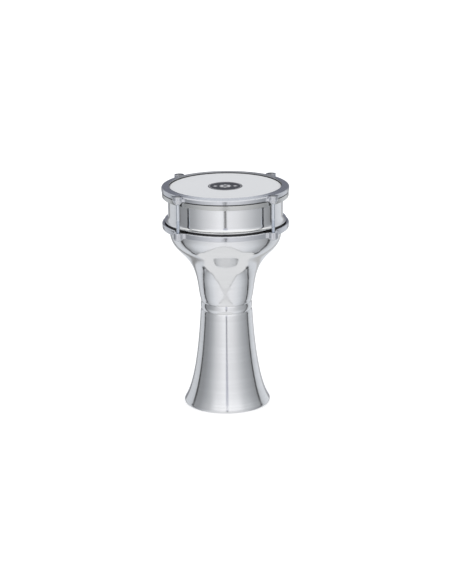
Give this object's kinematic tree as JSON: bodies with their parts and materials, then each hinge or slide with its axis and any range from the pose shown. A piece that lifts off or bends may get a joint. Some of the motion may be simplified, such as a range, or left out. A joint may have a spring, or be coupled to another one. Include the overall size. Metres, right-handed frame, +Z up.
{
  "type": "goblet drum (darbuka)",
  "caption": "Tunable aluminium goblet drum: bowl on a flared foot, film head pressed by a bolted counter hoop over a loose lug ring.",
  "frame": {"origin": "centre of the foot rim's bottom plane, the face the drum stands on", "axes": "+Z up along the drum's axis to the head; the bolts stand at 45 degrees to X and Y; +Y is the back"},
  "size_m": [0.176, 0.176, 0.3134],
  "materials": {
    "bowl_aluminium": "polished, fine spin lines",
    "foot_aluminium": "satin, spun lines",
    "band_aluminium": "polished",
    "sleeve_aluminium": "as drawn",
    "cast_aluminium": "cast and polished",
    "channel_aluminium": "satin extruded",
    "film": "coated white, matte",
    "resin": "cast resin",
    "badge": "printed, semi-gloss",
    "zinc_steel": "blue zinc plated"
  },
  "bodies": {
    "shell": {"foot_shell": "foot_aluminium", "neck_band": "band_aluminium", "neck_sleeve": "sleeve_aluminium", "bowl_shell": "bowl_aluminium", "collar_shell": "bowl_aluminium", "lug_ring": "cast_aluminium"},
    "hoop": {"counter_hoop": "cast_aluminium"},
    "head": {"head_film": "film", "flesh_hoop": "channel_aluminium", "channel_resin": "resin", "head_badge": "badge"},
    "bolt_back_right": {"tension_bolt_back_right": "zinc_steel"},
    "bolt_back_left": {"tension_bolt_back_left": "zinc_steel"},
    "bolt_front_left": {"tension_bolt_front_left": "zinc_steel"},
    "bolt_front_right": {"tension_bolt_front_right": "zinc_steel"}
  },
  "joints": [
    {"name": "hoop_lift", "type": "slide", "parent": "shell", "child": "hoop", "axis": [0, 0, 1], "range_m": [0, 0.0048]},
    {"name": "head_lift", "type": "slide", "parent": "shell", "child": "head", "axis": [0, 0, 1], "range_m": [0, 0.0048]},
    {"name": "bolt_turn_back_right", "type": "hinge", "parent": "hoop", "child": "bolt_back_right", "pos_m": [0.06435, 0.06435, 0.3105], "axis": [0, 0, 1], "range_deg": [0, 2160]},
    {"name": "bolt_turn_back_left", "type": "hinge", "parent": "hoop", "child": "bolt_back_left", "pos_m": [-0.06435, 0.06435, 0.3105], "axis": [0, 0, 1], "range_deg": [0, 2160]},
    {"name": "bolt_turn_front_left", "type": "hinge", "parent": "hoop", "child": "bolt_front_left", "pos_m": [-0.06435, -0.06435, 0.3105], "axis": [0, 0, 1], "range_deg": [0, 2160]},
    {"name": "bolt_turn_front_right", "type": "hinge", "parent": "hoop", "child": "bolt_front_right", "pos_m": [0.06435, -0.06435, 0.3105], "axis": [0, 0, 1], "range_deg": [0, 2160]}
  ],
  "couplings": [
    {"joint": "head_lift", "follows": "hoop_lift", "ratio": 1},
    {"joint": "bolt_turn_back_right", "follows": "hoop_lift", "rad_per_m": 7854},
    {"joint": "bolt_turn_back_left", "follows": "hoop_lift", "rad_per_m": 7854},
    {"joint": "bolt_turn_front_left", "follows": "hoop_lift", "rad_per_m": 7854},
    {"joint": "bolt_turn_front_right", "follows": "hoop_lift", "rad_per_m": 7854}
  ]
}
